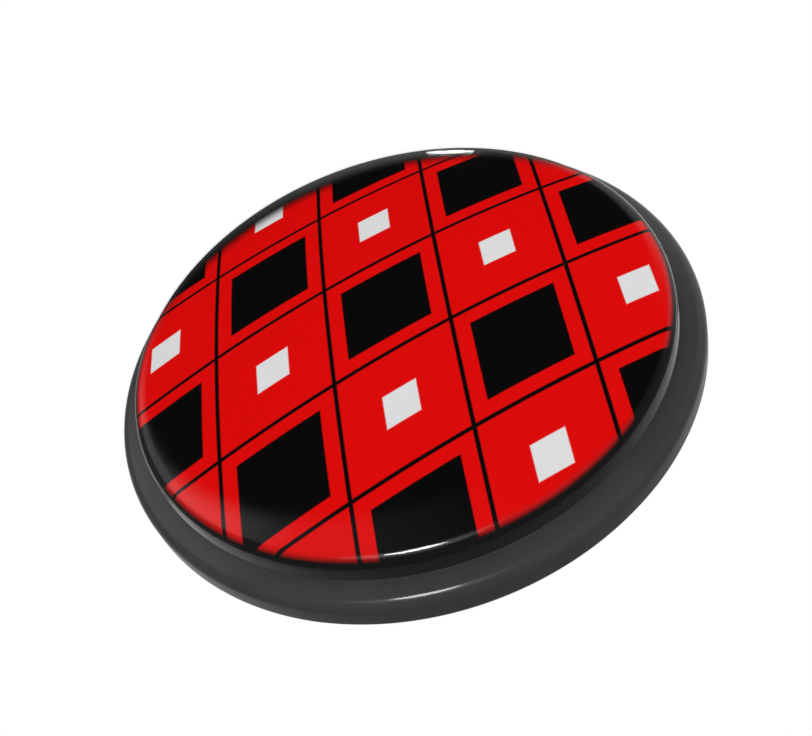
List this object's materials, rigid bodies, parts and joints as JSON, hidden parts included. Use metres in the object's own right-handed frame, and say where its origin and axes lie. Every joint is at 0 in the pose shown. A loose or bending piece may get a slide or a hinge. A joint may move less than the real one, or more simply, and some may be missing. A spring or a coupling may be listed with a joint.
{
  "type": "pin-back button badge",
  "caption": "Round domed button badge, a printed and filmed face snapped into a moulded back that carries a hinged pin with a turning safety catch.",
  "frame": {"origin": "centre of the badge's flat foot", "axes": "+Z out of the face, +X along the pin bar from its hinge to its catch, +Y the face's upright direction"},
  "size_m": [0.058, 0.058, 0.0089],
  "materials": {
    "film": "gloss",
    "print": "satin",
    "tinplate": "satin",
    "moulding": "satin",
    "plated_steel": "satin",
    "needle_steel": "polished"
  },
  "bodies": {
    "badge": {"clear_film": "film", "printed_disc": "print", "front_shell": "tinplate", "moulded_back": "moulding", "pin_bar": "plated_steel", "hinge_bracket": "plated_steel", "hinge_rivet": "plated_steel", "catch_housing": "plated_steel"},
    "needle": {"pin_needle": "needle_steel"},
    "catch": {"catch_drum": "plated_steel"}
  },
  "joints": [
    {"name": "pin_swing", "type": "hinge", "parent": "badge", "child": "needle", "pos_m": [-0.014, 0, 0.00179], "axis": [0, 1, 0], "range_deg": [0, 90]},
    {"name": "catch_turn", "type": "hinge", "parent": "badge", "child": "catch", "pos_m": [0.0145, 0, 0.00179], "axis": [1, 0, 0], "range_deg": [0, 90]}
  ]
}
